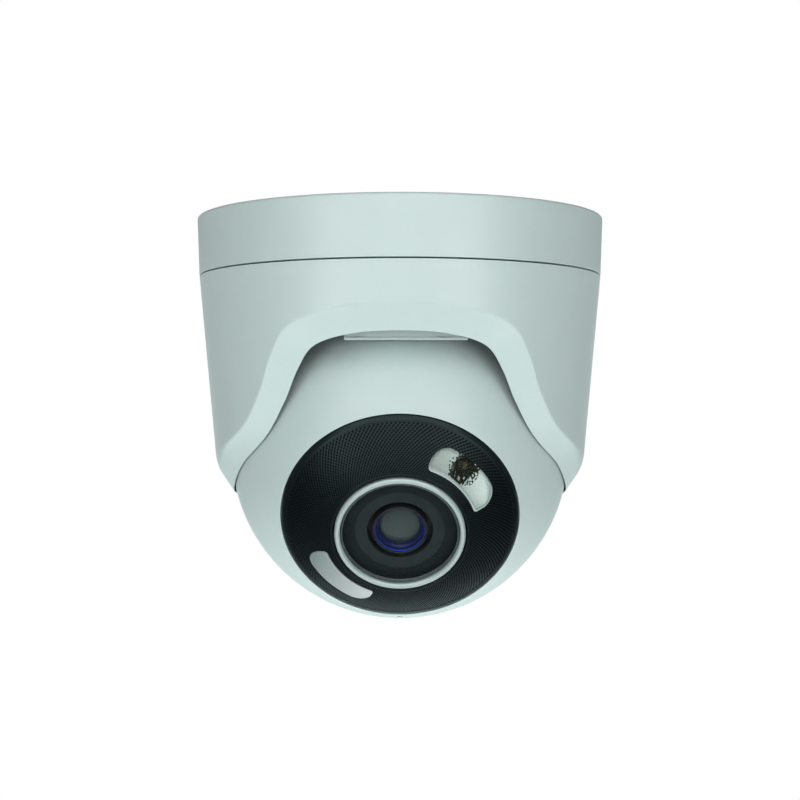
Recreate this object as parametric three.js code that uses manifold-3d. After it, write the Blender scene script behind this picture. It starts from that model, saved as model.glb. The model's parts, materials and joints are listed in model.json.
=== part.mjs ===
// Ceiling-mounted turret security camera: a round base, a tapered housing that pans on it,
// a yoke that tilts in the housing, and a ball with the lens and its lamps that rolls in the yoke.
// Millimetres, +Z up. The origin is the centre of the face that lies on the ceiling, and the
// opening of the housing faces -Y. The ball is built in a frame of its own: +Z out of the lens,
// +Y up and +X to the right, with its origin at the centre of the ball.
import * as THREE from 'three';
import { mergeVertices } from 'three/addons/utils/BufferGeometryUtils.js';
import Module from 'manifold-3d';

const wasm = await Module();
wasm.setup();

// ---------------------------------------------------------------- driving dimensions
const GAP = 0.3;

const BASE_RADIUS = 55;
const BASE_DRAFT = 0.0367;
const BASE_HEIGHT = 15.5;
const BASE_EDGE = 0.9;
const BASE_PLATE = 3;
const RIM_INNER = 49.4;
const SEAM_WIDTH = 0.45;
const CABLE_HOLE_RADIUS = 9.5;
const CABLE_HOLE_Y = 18;
const CEILING_SCREW_RADIUS = 2.2;
const CEILING_SCREW_CIRCLE = 34;

const SKIRT_INNER = 40.5;
const SKIRT_OUTER = 43;
const PAN_FACE_Z = -16.8;
const FLANGE_INNER = 43.4;
const FLANGE_TOP = -18.2;
const FLANGE_BOTTOM = -21.4;
const RETAINER_TOP = -21.8;
const RETAINER_BOTTOM = -24;
const RETAINER_OUTER = 45.6;
const RETAINER_INNER = 37;
const BOSS_CIRCLE = 40.4;
const BOSS_RADIUS = 2.4;
const PAN_FLANGE = 2.5;

const HOUSING_TOP = -(BASE_HEIGHT + SEAM_WIDTH);
const HOUSING_RADIUS = 54.4;
const HOUSING_TAPER = 0.0935;
const HOUSING_WALL = 2.35;
const HOUSING_MIN_INNER = 47.75;
const LIP_RADIUS = 46.25;

const BALL_RADIUS = 45.74;
const BALL_CENTRE_Z = -62.47;
const LENS_DOWN_DEGREES = 30.33;
const SHELL_WALL = 2.4;
const SHELL_SEAM = -3;
const BALL_REAR = -37;
const REAR_WALL = 3.4;

const BEZEL_RADIUS = 30.17;
const BEZEL_SPHERE = 45.4;
const BEZEL_HOLE = 16.85;
const RING_OUTER = 16.5;
const RING_INNER = 15.1;

const WINDOW_INNER = 19.3;
const WINDOW_OUTER = 25.85;
const WINDOW_FROM = 17;
const WINDOW_TO = 70;
const WINDOW_OUTER_CORNER = 4.2;
const WINDOW_INNER_CORNER = 1;

const YOKE_INNER = 46.05;
const YOKE_OUTER = 47.3;
const YOKE_HALF_WIDTH = 5;
const HUB_RADIUS = 14;
const NECK_RADIUS = 7;
const NECK_BORE = 5;
const PIN_RADIUS = 2;

const ACCESS = { x0: -8, x1: 13, y0: -22.5, y1: -15.5 };
const RESET_X = 10.5;
const RESET_Y = -19.5;

// The two creases of the housing's opening, as [degrees from the front, height]. The outer one
// lies on the cone and the inner one on the lip, and each pair is straight across the chamfer.
const OUTER_CREASE = [
  [0, -26.8], [17, -27.7], [31.5, -31.8], [38.3, -39.5], [43.2, -47.8],
  [52, -56.2], [66, -61.5], [88, -67.2], [125, -68.3], [180, -68.3],
];
const INNER_CREASE = [
  [0, -33.1], [15, -33.8], [27.5, -36.6], [33.6, -42.6], [38.8, -50.5],
  [47, -58.9], [60, -65.3], [84, -73.8], [125, -75.3], [180, -75.3],
];

// ---------------------------------------------------------------- materials
function material(color, roughness, metalness = 0) {
  return new THREE.MeshStandardMaterial({ color, roughness, metalness });
}

const PAINT = material(0xd9e2de, 0.45, 0.1);
const BLACK = material(0x0c0d0d, 0.2);
const RUBBER = material(0x1c1d1d, 0.85);
const STEEL = material(0xb9bcbe, 0.3, 1);
const ALUMINIUM = material(0xa9adaf, 0.4, 1);
const CHROME = material(0xe4e6e6, 0.08, 1);
const GLASS = material(0x20282a, 0.03);
const CLEAR = material(0xdfe5e4, 0.1);
const LENS_GLASS = material(0x3a4a86, 0.03);
const PLASTIC = material(0x17181a, 0.55);
const WHITE_PLASTIC = material(0xe8e8e4, 0.5);
const BOARD = material(0x14523a, 0.5);
const CHIP = material(0x202124, 0.4);
const LAMP = material(0xd9d86a, 0.35);

// ---------------------------------------------------------------- solids
const radians = THREE.MathUtils.degToRad;

// A closed geometry as an exact solid, with shared corners merged and faces pointing out.
function solidOf(geometry) {
  const bare = geometry.clone();
  bare.deleteAttribute('normal');
  bare.deleteAttribute('uv');
  const merged = mergeVertices(bare, 1e-4);
  const corners = new Float32Array(merged.attributes.position.array);
  const index = merged.index.array;
  const faces = [];
  const [a, b, c] = [new THREE.Vector3(), new THREE.Vector3(), new THREE.Vector3()];
  let volume = 0;
  for (let i = 0; i < index.length; i += 3) {
    const [p, q, r] = [index[i], index[i + 1], index[i + 2]];
    if (p === q || q === r || r === p) continue;
    faces.push([p, q, r]);
    a.fromArray(corners, 3 * p);
    b.fromArray(corners, 3 * q);
    c.fromArray(corners, 3 * r);
    volume += a.dot(b.cross(c));
  }
  const outward = volume > 0 ? faces : faces.map(([p, q, r]) => [p, r, q]);
  const triVerts = new Uint32Array(outward.flat());
  return new wasm.Manifold(new wasm.Mesh({ numProp: 3, vertProperties: corners, triVerts }));
}

function geometryOf(solid) {
  const mesh = solid.getMesh();
  const geometry = new THREE.BufferGeometry();
  geometry.setAttribute('position', new THREE.BufferAttribute(mesh.vertProperties, 3));
  geometry.setIndex(new THREE.BufferAttribute(mesh.triVerts, 1));
  geometry.computeVertexNormals();
  return geometry;
}

function subtract(body, ...tools) {
  return geometryOf(tools.reduce((rest, tool) => rest.subtract(solidOf(tool)), solidOf(body)));
}

function unite(body, ...others) {
  return geometryOf(others.reduce((all, other) => all.add(solidOf(other)), solidOf(body)));
}

function intersect(body, other) {
  return geometryOf(solidOf(body).intersect(solidOf(other)));
}

// ---------------------------------------------------------------- shapes
// A closed outline of [radius, height] pairs turned about +Z.
function revolve(outline, segments) {
  const points = outline.map(([r, z]) => new THREE.Vector2(r, z));
  points.push(points[0].clone());
  return new THREE.LatheGeometry(points, segments).rotateX(Math.PI / 2);
}

// A ring of rectangular section about +Z.
function ring(inner, outer, z0, z1, segments = 28) {
  return revolve([[inner, z0], [outer, z0], [outer, z1], [inner, z1]], segments);
}

function rod(x, y, radius, z0, z1, segments = 16) {
  const geometry = new THREE.CylinderGeometry(radius, radius, z1 - z0, segments);
  return geometry.rotateX(Math.PI / 2).translate(x, y, (z0 + z1) / 2);
}

function block(x0, x1, y0, y1, z0, z1) {
  const geometry = new THREE.BoxGeometry(x1 - x0, y1 - y0, z1 - z0);
  return geometry.translate((x0 + x1) / 2, (y0 + y1) / 2, (z0 + z1) / 2);
}

function prism(points, z0, z1) {
  const shape = new THREE.Shape(points.map(([x, y]) => new THREE.Vector2(x, y)));
  const geometry = new THREE.ExtrudeGeometry(shape, { depth: z1 - z0, bevelEnabled: false });
  return geometry.translate(0, 0, z0);
}

// Points of an arc, both ends included, as [x, y] pairs.
function arc(x, y, radius, from, to, steps) {
  const points = [];
  for (let i = 0; i <= steps; i += 1) {
    const angle = radians(from + ((to - from) * i) / steps);
    points.push([x + radius * Math.cos(angle), y + radius * Math.sin(angle)]);
  }
  return points;
}

// The arc of a sphere's section from one height to another, as [radius, height] pairs.
function sphereArc(radius, fromHeight, toHeight, steps) {
  const degrees = (height) => THREE.MathUtils.radToDeg(Math.asin(height / radius));
  return arc(0, 0, radius, degrees(fromHeight), degrees(toHeight), steps);
}

function heightOnSphere(radius, r) {
  return Math.sqrt(radius * radius - r * r);
}

// A pan-head screw along +Z with its head at the low end and a round driving recess.
function screw(headRadius, headHeight, shaftRadius, length) {
  const recess = headHeight * 0.6;
  return revolve([
    [0, recess], [headRadius * 0.45, recess], [headRadius * 0.45, 0], [headRadius * 0.8, 0],
    [headRadius, headHeight * 0.4], [headRadius, headHeight], [shaftRadius, headHeight],
    [shaftRadius, headHeight + length], [0, headHeight + length],
  ], 10);
}

// The outline of a lamp window: a stretch of ring with rounded corners, drawn in by an inset.
function windowOutline(inset) {
  const inner = WINDOW_INNER + inset;
  const outer = WINDOW_OUTER - inset;
  const side = THREE.MathUtils.radToDeg(inset / ((inner + outer) / 2));
  const [from, to] = [WINDOW_FROM + side, WINDOW_TO - side];
  const corner = (radius, centreRadius, angle, sign, start, end) => {
    const turn = THREE.MathUtils.radToDeg(Math.asin(radius / centreRadius));
    const at = radians(angle + sign * turn);
    const [x, y] = [centreRadius * Math.cos(at), centreRadius * Math.sin(at)];
    return arc(x, y, radius, start, end, 4);
  };
  const outerCorner = WINDOW_OUTER_CORNER - inset;
  const innerCorner = WINDOW_INNER_CORNER;
  const outerTurn = THREE.MathUtils.radToDeg(Math.asin(outerCorner / (outer - outerCorner)));
  const innerTurn = THREE.MathUtils.radToDeg(Math.asin(innerCorner / (inner + innerCorner)));
  return [
    ...corner(innerCorner, inner + innerCorner, from, 1, from + innerTurn + 180, from + 270),
    ...corner(outerCorner, outer - outerCorner, from, 1, from - 90, from + outerTurn),
    ...arc(0, 0, outer, from + outerTurn, to - outerTurn, 6).slice(1, -1),
    ...corner(outerCorner, outer - outerCorner, to, -1, to - outerTurn, to + 90),
    ...corner(innerCorner, inner + innerCorner, to, -1, to + 90, to - innerTurn + 180),
    ...arc(0, 0, inner, to - innerTurn, from + innerTurn, 6).slice(1, -1),
  ];
}

// ---------------------------------------------------------------- assembly
const camera = new THREE.Group();
const ball = new THREE.Group();
ball.position.set(0, 0, BALL_CENTRE_Z);
ball.rotation.x = radians(90 + LENS_DOWN_DEGREES);
camera.add(ball);

function add(parent, name, geometry, look) {
  const mesh = new THREE.Mesh(geometryOf(solidOf(geometry)), look);
  mesh.name = name;
  parent.add(mesh);
  return mesh;
}

// ---------------------------------------------------------------- base
const BOSSES = [0, 120, 240];
const THREAD_RADIUS = 1.15;
const THREAD_TOP = -0.8;
const SUNK_HEAD = { radius: 2.2, depth: 1.5 };

function bossPlaces() {
  return BOSSES.map((angle) => arc(0, 0, BOSS_CIRCLE, angle, angle, 1)[0]);
}

// A rod on each boss.
function onBosses(radius, z0, z1) {
  return bossPlaces().map(([x, y]) => rod(x, y, radius, z0, z1, 12));
}

function mountingBase() {
  const bottom = -BASE_HEIGHT;
  const rimRadius = BASE_RADIUS - BASE_DRAFT * BASE_HEIGHT;
  const edge = arc(BASE_RADIUS - BASE_EDGE, -BASE_EDGE, BASE_EDGE, 90, 0, 3);
  const body = revolve([
    [0, 0], [49.7, 0], [49.7, -1.5], [53.1, -1.5], [53.1, 0], ...edge,
    [rimRadius, bottom], [52.7, bottom], [52.7, bottom + 1.3], [50.3, bottom + 1.3],
    [50.3, bottom], [RIM_INNER, bottom], [RIM_INNER, -BASE_PLATE], [0, -BASE_PLATE],
  ], 48);
  const holes = [rod(0, CABLE_HOLE_Y, CABLE_HOLE_RADIUS, -BASE_PLATE - 1, 1, 24)];
  for (const angle of [30, 150, 270]) {
    const x = CEILING_SCREW_CIRCLE * Math.cos(radians(angle));
    const y = CEILING_SCREW_CIRCLE * Math.sin(radians(angle));
    holes.push(rod(x, y, CEILING_SCREW_RADIUS, -BASE_PLATE - 1, 1, 12));
  }
  return subtract(body, ...holes, ...onBosses(THREAD_RADIUS, -BASE_PLATE - 1, THREAD_TOP));
}

// The ring that the housing turns on: a skirt, a flange for the pan washer and three bosses.
function panRing() {
  const top = -BASE_PLATE - GAP;
  const bottom = FLANGE_BOTTOM - 0.1;
  const section = revolve([
    [SKIRT_INNER, top], [SKIRT_OUTER, top], [SKIRT_OUTER, PAN_FACE_Z + PAN_FLANGE],
    [RIM_INNER - GAP, PAN_FACE_Z + PAN_FLANGE], [RIM_INNER - GAP, PAN_FACE_Z],
    [SKIRT_OUTER, PAN_FACE_Z], [SKIRT_OUTER, bottom], [SKIRT_INNER, bottom],
  ], 48);
  const solid = unite(section, ...onBosses(BOSS_RADIUS, bottom, top));
  return subtract(solid, ...onBosses(THREAD_RADIUS, bottom - 1, top + 1));
}

function cableGrommet() {
  const outer = CABLE_HOLE_RADIUS - GAP;
  const body = revolve([
    [6.8, -0.4], [outer, -0.4], [outer, -BASE_PLATE - GAP], [outer + 2.4, -BASE_PLATE - GAP],
    [outer + 2.4, -BASE_PLATE - 1.6], [6.8, -BASE_PLATE - 1.6],
  ], 24);
  return body.translate(0, CABLE_HOLE_Y, 0);
}

add(camera, 'mounting_base', mountingBase(), PAINT);
add(camera, 'pan_ring', panRing(), PLASTIC);
add(camera, 'ceiling_gasket', ring(50, 52.8, -1.2, 0, 36), RUBBER);
add(camera, 'cable_grommet', cableGrommet(), RUBBER);
add(camera, 'seam_seal', ring(50.6, 52.4, -BASE_HEIGHT - 0.2, -BASE_HEIGHT + 1, 36), RUBBER);
add(camera, 'pan_washer', ring(SKIRT_OUTER + 0.6, 48.6, FLANGE_TOP + GAP, PAN_FACE_Z - GAP, 32), PLASTIC);

// Long screws hold the retainer and the pan ring to the base, their heads sunk in the retainer.
const retainer = ring(RETAINER_INNER, RETAINER_OUTER, RETAINER_BOTTOM, RETAINER_TOP, 36);
add(camera, 'pan_retainer', subtract(
  retainer,
  ...onBosses(THREAD_RADIUS, RETAINER_BOTTOM - 1, RETAINER_TOP + 1),
  ...onBosses(SUNK_HEAD.radius, RETAINER_BOTTOM - 1, RETAINER_BOTTOM + SUNK_HEAD.depth),
), STEEL);
bossPlaces().forEach(([x, y], i) => {
  const body = screw(1.9, 1.1, 0.85, 21.6).translate(x, y, RETAINER_BOTTOM + 0.1);
  add(camera, `retainer_screw_${i + 1}`, body, STEEL);
});

// ---------------------------------------------------------------- housing
function coneRadius(z) {
  return HOUSING_RADIUS + HOUSING_TAPER * (z - HOUSING_TOP);
}

// The lip's inner edge stands straight above the ball's centre and follows the ball below it.
function lipRadius(z) {
  const below = Math.max(0, BALL_CENTRE_Z - z);
  return Math.sqrt(LIP_RADIUS * LIP_RADIUS - below * below);
}

function innerRadius(z) {
  return Math.max(coneRadius(z) - HOUSING_WALL, HOUSING_MIN_INNER);
}

function creaseCurve(half) {
  const points = [];
  for (const [angle, z] of half.slice(1).reverse()) points.push(new THREE.Vector2(-angle, z));
  for (const [angle, z] of half) points.push(new THREE.Vector2(angle, z));
  return new THREE.SplineCurve(points);
}

// The height of a crease, given its sampled points, at an angle.
function heightAt(points, angle) {
  const i = Math.max(1, points.findIndex((point) => point.x >= angle));
  const [from, to] = [points[i - 1], points[i]];
  return from.y + ((to.y - from.y) * (angle - from.x)) / (to.x - from.x);
}

// The walls are skinned between columns that run down the cone, across the chamfer, up the
// inside and round the flange. Columns are closest where the opening's edge is longest.
function housingWalls() {
  const outerCurve = creaseCurve(OUTER_CREASE);
  const innerCurve = creaseCurve(INNER_CREASE);
  const spans = outerCurve.points.length - 1;
  const columns = [];
  for (let span = 0; span < spans; span += 1) {
    const [from, to] = [outerCurve.points[span], outerCurve.points[span + 1]];
    const length = Math.hypot(radians(to.x - from.x) * LIP_RADIUS, to.y - from.y);
    const steps = Math.ceil(length / 5.2);
    for (let step = 0; step < steps; step += 1) {
      const t = (span + step / steps) / spans;
      columns.push([outerCurve.getPoint(t), innerCurve.getPoint(t)]);
    }
  }
  const outerPoints = columns.map(([outer]) => outer);
  const corners = [];
  const put = (degrees, r, z) => {
    const angle = radians(degrees);
    corners.push(r * Math.sin(angle), -r * Math.cos(angle), z);
  };
  for (const [outer, inner] of columns) {
    const shoulder = Math.max(inner.y + 4.5, heightAt(outerPoints, inner.x) - 0.5, -68.5);
    const bend = Math.max(shoulder + 1, -61.5);
    put(outer.x, HOUSING_RADIUS, HOUSING_TOP);
    put(outer.x, coneRadius(outer.y), outer.y);
    put(inner.x, lipRadius(inner.y), inner.y);
    put(inner.x, lipRadius(inner.y + 1.2) + 0.2, inner.y + 1.2);
    put(inner.x, innerRadius(shoulder), shoulder);
    put(inner.x, innerRadius(bend), bend);
    put(inner.x, innerRadius(FLANGE_BOTTOM), FLANGE_BOTTOM);
    put(inner.x, FLANGE_INNER, FLANGE_BOTTOM);
    put(inner.x, FLANGE_INNER, FLANGE_TOP);
    put(inner.x, 49.9, FLANGE_TOP);
    put(inner.x, 49.9, HOUSING_TOP);
  }
  const rows = corners.length / 3 / columns.length;
  const index = [];
  for (let i = 0; i < columns.length; i += 1) {
    const [here, next] = [i * rows, ((i + 1) % columns.length) * rows];
    for (let j = 0; j < rows; j += 1) {
      const k = (j + 1) % rows;
      index.push(here + j, next + j, next + k, here + j, next + k, here + k);
    }
  }
  const geometry = new THREE.BufferGeometry();
  geometry.setAttribute('position', new THREE.Float32BufferAttribute(corners, 3));
  geometry.setIndex(index);
  return geometry;
}

const LOCK_SCREW_Z = (FLANGE_TOP + FLANGE_BOTTOM) / 2;
const BRAKE = { x0: -13.9, x1: 16.9, front: -40, thick: 1.6, shelfTop: -24.4, bottom: -34.9 };
const BRAKE_SCREW_Y = -47.4;
const BRAKE_SCREW_X = 9;
const SOCKET_DEPTH = 49.5;

function housingShell() {
  const tools = [];
  for (const side of [-1, 1]) {
    const socket = rod(0, 0, PIN_RADIUS + 1.6, HOUSING_MIN_INNER - 1, SOCKET_DEPTH, 20);
    tools.push(socket.rotateY((side * Math.PI) / 2).translate(0, 0, BALL_CENTRE_Z));
    tools.push(rod(side * BRAKE_SCREW_X, BRAKE_SCREW_Y, 1.3, FLANGE_BOTTOM - 1, FLANGE_TOP - 1, 10));
  }
  const lockHole = rod(0, 0, 1.25, FLANGE_INNER - 1, HOUSING_RADIUS + 1, 12);
  tools.push(lockHole.rotateX(-Math.PI / 2).translate(0, 0, LOCK_SCREW_Z));
  return subtract(housingWalls(), ...tools);
}

// A Z-shaped plate under the flange whose lower edge shows just under the lip.
function brakePlate() {
  const { x0, x1, front, thick, shelfTop, bottom } = BRAKE;
  const section = [
    [front, bottom + 0.5], [front + 0.5, bottom], [front + thick, bottom],
    [front + thick, shelfTop], [-50.5, shelfTop], [-50.5, shelfTop - thick],
    [front, shelfTop - thick],
  ];
  const plate = prism(section, x0, x1).applyMatrix4(new THREE.Matrix4().set(
    0, 0, 1, 0,
    1, 0, 0, 0,
    0, 1, 0, 0,
    0, 0, 0, 1,
  ));
  const inside = intersect(plate, rod(0, 0, innerRadius(shelfTop) - 2 * GAP, -45, -15, 64));
  const bores = [-1, 1].map((side) => rod(side * BRAKE_SCREW_X, BRAKE_SCREW_Y, 1.3, -30, -20, 10));
  return subtract(inside, ...bores);
}

add(camera, 'housing_shell', housingShell(), PAINT);
add(camera, 'brake_plate', brakePlate(), PAINT);
for (const [side, word] of [[-1, 'left'], [1, 'right']]) {
  const fixing = screw(1.9, 1.2, 1, 4.4);
  fixing.translate(side * BRAKE_SCREW_X, BRAKE_SCREW_Y, BRAKE.shelfTop - BRAKE.thick - GAP - 1.2);
  add(camera, `brake_screw_${word}`, fixing, STEEL);
  const bush = ring(PIN_RADIUS + GAP, PIN_RADIUS + 1.3, HOUSING_MIN_INNER + 0.2, SOCKET_DEPTH - GAP, 20);
  bush.rotateY((side * Math.PI) / 2).translate(0, 0, BALL_CENTRE_Z);
  add(camera, `tilt_bush_${word}`, bush, PLASTIC);
}
const lockScrew = revolve([
  [0, 44], [0.95, 44], [0.95, 53.4], [0.5, 53.4], [0.5, 51.8], [0, 51.8],
], 12);
lockScrew.rotateX(-Math.PI / 2).translate(0, 0, LOCK_SCREW_Z);
add(camera, 'lock_screw', lockScrew, STEEL);

// ---------------------------------------------------------------- yoke
// A flat hub behind the ball and two arms that follow the ball to the pins on its sides.
function tiltYoke() {
  const hubFront = BALL_REAR - 0.4;
  const hubBack = BALL_REAR - 1.6;
  const inner = arc(0, 0, YOKE_INNER, 0, -180, 36).filter(([, d]) => d > hubFront);
  const outer = arc(0, 0, YOKE_OUTER, -180, 0, 36).filter(([, d]) => d > hubBack);
  const half = (points, side) => points.filter(([x]) => Math.sign(x) === side);
  const innerJoin = Math.sqrt(YOKE_INNER ** 2 - hubFront ** 2);
  const outerJoin = Math.sqrt(YOKE_OUTER ** 2 - hubBack ** 2);
  const band = [
    ...half(inner, 1), [innerJoin, hubFront], [-innerJoin, hubFront], ...half(inner, -1),
    ...half(outer, -1), [-outerJoin, hubBack], [outerJoin, hubBack], ...half(outer, 1),
  ];
  const arms = prism(band, -YOKE_HALF_WIDTH, YOKE_HALF_WIDTH).rotateX(Math.PI / 2);
  const ears = [-1, 1].map((side) => {
    const ear = rod(0, 0, YOKE_HALF_WIDTH, YOKE_INNER + 0.05, YOKE_OUTER, 24);
    return ear.rotateY((side * Math.PI) / 2);
  });
  const hub = rod(0, 0, HUB_RADIUS, hubBack, hubFront, 32);
  const bores = [-1, 1].map((side) => {
    const bore = rod(0, 0, PIN_RADIUS + GAP, YOKE_INNER - 1, YOKE_OUTER + 1, 16);
    return bore.rotateY((side * Math.PI) / 2);
  });
  return subtract(unite(arms, hub, ...ears), rod(0, 0, NECK_RADIUS + GAP, -60, 0, 28), ...bores);
}

add(ball, 'tilt_yoke', tiltYoke(), STEEL);
for (const [side, word] of [[-1, 'left'], [1, 'right']]) {
  const pin = rod(0, 0, PIN_RADIUS, YOKE_INNER + 0.15, SOCKET_DEPTH - GAP, 16);
  add(ball, `trunnion_pin_${word}`, pin.rotateY((side * Math.PI) / 2), STEEL);
}
add(ball, 'roll_washer', ring(NECK_RADIUS + GAP, 12, BALL_REAR - 2.5, BALL_REAR - 1.9), PLASTIC);

// ---------------------------------------------------------------- ball shells
function frontShell() {
  const innerSphere = BALL_RADIUS - SHELL_WALL;
  const opening = BEZEL_RADIUS + 0.33;
  const ledge = 31.4;
  const outline = [
    ...sphereArc(BALL_RADIUS, SHELL_SEAM, heightOnSphere(BALL_RADIUS, opening), 13),
    [opening, ledge], [27.4, ledge], [27.4, ledge - 1.5],
    ...sphereArc(innerSphere, ledge - 1.5, SHELL_SEAM, 5),
  ];
  const port = block(-0.7, 0.7, -1, 1, 0, 12).rotateX(radians(45.8)).translate(0, -27, 26.1);
  return subtract(revolve(outline, 48), port);
}

function rearShell() {
  const innerSphere = BALL_RADIUS - SHELL_WALL;
  const start = SHELL_SEAM - GAP;
  const rearEdge = Math.sqrt(BALL_RADIUS ** 2 - BALL_REAR ** 2);
  const inside = BALL_REAR + REAR_WALL;
  const outline = [
    ...sphereArc(innerSphere, start, inside, 5), [NECK_BORE, inside], [NECK_BORE, -43],
    [NECK_RADIUS, -43], [NECK_RADIUS, BALL_REAR], [rearEdge, BALL_REAR],
    ...sphereArc(BALL_RADIUS, BALL_REAR, start, 8).slice(1),
  ];
  const { x0, x1, y0, y1 } = ACCESS;
  const tools = [
    block(x0, x1, y0, y1, BALL_REAR - 1, BALL_REAR + 2.3),
    block(x0 + 1, x1 - 1, y0 + 0.8, y1 - 0.8, BALL_REAR - 1, inside + 1),
  ];
  for (const [x, y] of rearScrewPlaces()) {
    tools.push(rod(x, y, 2.5, BALL_REAR - 1, BALL_REAR + 1.9, 16));
    tools.push(rod(x, y, 1.5, BALL_REAR - 1, inside + 1, 12));
  }
  return subtract(revolve(outline, 48), ...tools);
}

function rearScrewPlaces() {
  return [90, 210, 330].map((angle) => arc(0, 0, 20, angle, angle, 1)[0]);
}

add(ball, 'ball_front_shell', frontShell(), PAINT);
add(ball, 'ball_rear_shell', rearShell(), PAINT);
add(ball, 'shell_gasket', ring(41.2, 42.8, SHELL_SEAM - 2, SHELL_SEAM + 2, 32), RUBBER);
rearScrewPlaces().forEach(([x, y], i) => {
  const body = screw(2.1, 1.4, 1.1, 15.6).translate(x, y, BALL_REAR + 0.1);
  add(ball, `rear_screw_${i + 1}`, body, STEEL);
});

const nutOutline = arc(0, 0, 11.4, 0, 300, 5);
const nut = subtract(prism(nutOutline, -42.4, -39.8), rod(0, 0, NECK_RADIUS + GAP, -45, -38, 28));
add(ball, 'neck_nut', nut, STEEL);
add(ball, 'cable_gland', revolve([
  [2.4, -45], [4, -45], [4.7, -43.4], [4.7, -36], [2.4, -36],
], 20), RUBBER);

// ---------------------------------------------------------------- front of the ball
function bezel() {
  const outline = [
    ...sphereArc(BEZEL_SPHERE, heightOnSphere(BEZEL_SPHERE, BEZEL_RADIUS),
      heightOnSphere(BEZEL_SPHERE, BEZEL_HOLE), 6),
    [BEZEL_HOLE, 39.4], [26.4, 34], [26.4, 31.7], [BEZEL_RADIUS, 31.7],
  ];
  const cut = prism(windowOutline(0), 25, 50);
  const opposite = cut.clone().rotateZ(Math.PI);
  return subtract(revolve(outline, 48), cut, opposite);
}

const LAMP_PLACE = arc(0, 0, 22.95, 46, 46, 1)[0];
const REFLECTOR_BACK = 27.6;
const BOWL = { mouth: 3.8, foot: 1.9, depth: 11.6 };

function lampWindow(turn) {
  const cap = revolve([
    ...sphereArc(BEZEL_SPHERE - 0.1, 34.5, 42.5, 6),
    [10, 42.5], [10, 40.4], ...sphereArc(BEZEL_SPHERE - 1.8, 40.8, 32.5, 5), [29, 32.5],
  ], 48);
  return intersect(cap, prism(windowOutline(GAP), 25, 50)).rotateZ(turn);
}

function reflector(turn) {
  const [x, y] = LAMP_PLACE;
  const bowl = new THREE.CylinderGeometry(BOWL.mouth, BOWL.foot, BOWL.depth, 16);
  bowl.rotateX(Math.PI / 2).translate(x, y, REFLECTOR_BACK + BOWL.depth / 2);
  const body = prism(windowOutline(0.9), REFLECTOR_BACK, 40);
  const cap = revolve([
    ...sphereArc(BEZEL_SPHERE - 2.2, 32, 40.4, 6), [12, 40.4], [12, 25], [30, 25],
  ], 48);
  return subtract(intersect(body, cap), bowl).rotateZ(turn);
}

function lamp(turn) {
  const [x, y] = LAMP_PLACE;
  return block(x - 1, x + 1, y - 1, y + 1, REFLECTOR_BACK, REFLECTOR_BACK + 0.8).rotateZ(turn);
}

add(ball, 'bezel', bezel(), BLACK);
add(ball, 'lens_trim_ring', revolve([
  [RING_INNER, 38.6], [RING_OUTER, 38.6], [RING_OUTER, 42], [RING_OUTER - 0.5, 42.4],
  [RING_INNER + 0.3, 42.4], [RING_INNER, 42],
], 40), ALUMINIUM);
add(ball, 'front_window', revolve([
  [0, 40.4], [14.8, 40.4], [14.8, 41.4], [14.4, 41.8], [0, 41.8],
], 36), GLASS);
add(ball, 'window_gasket', ring(12.2, 14.8, 39.3, 40.1, 24), RUBBER);
for (const [turn, word] of [[0, 'upper'], [Math.PI, 'lower']]) {
  add(ball, `lamp_window_${word}`, lampWindow(turn), CLEAR);
  add(ball, `reflector_${word}`, reflector(turn), CHROME);
  add(ball, `lamp_${word}`, lamp(turn), LAMP);
}
add(ball, 'lamp_board', ring(16, 25.8, 26.3, 27.3, 28), BOARD);
add(ball, 'lens_carrier', revolve([
  [12, 24], [27, 24], [27, 26], [14.8, 26], [14.8, 39], [12, 39],
], 32), PLASTIC);

// ---------------------------------------------------------------- lens and sensor
add(ball, 'light_shield', revolve([
  [8.3, 37.6], [11.3, 37.6], [11.3, 40], [8.3, 40],
], 24), RUBBER);
add(ball, 'lens_barrel', revolve([
  [5.2, 20], [6.9, 20], [6.9, 40.1], [6.5, 40.1], [6.5, 35.6], [5.2, 35.6],
], 24), PLASTIC);
add(ball, 'front_element', revolve([
  [0, 36], [6.2, 36], [6.2, 39.3], [5.9, 38.8], [5.2, 37.5], [3.4, 37.75], [1.7, 37.9], [0, 37.95],
], 20), LENS_GLASS);
add(ball, 'rear_element', revolve([
  [0, 22], [3, 22.3], [4.9, 23], [4.9, 25], [0, 25],
], 20), LENS_GLASS);
add(ball, 'lens_holder', subtract(
  unite(block(-14, 14, -10, 10, 10.3, 18.5), rod(0, 0, 9.5, 18, 26, 28)),
  rod(0, 0, 7.2, 16.5, 27, 28),
  block(-11.4, 15, -5.2, 5.2, 12.2, 14.6),
  block(-5.2, 5.2, -5.2, 5.2, 9, 17),
), PLASTIC);
add(ball, 'ir_cut_filter', block(-10.5, 3.5, -4.6, 4.6, 12.8, 13.8), LENS_GLASS);
add(ball, 'image_sensor', block(-4.6, 4.6, -4, 4, 9.7, 11.2), CHIP);
add(ball, 'sensor_board', block(-15, 15, -13, 13, 7.8, 9.4), BOARD);
add(ball, 'main_board', rod(0, 0, 35, -10, -8.4, 36), BOARD);
add(ball, 'processor', block(-8, 8, -8, 8, -12.2, -10.3), CHIP);
add(ball, 'heat_spreader', rod(0, 0, 30, -15.5, -12.5, 32), ALUMINIUM);
add(ball, 'microphone', rod(0, 0, 1.6, 38, 40, 12).rotateX(radians(45.8)), CHIP);

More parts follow.
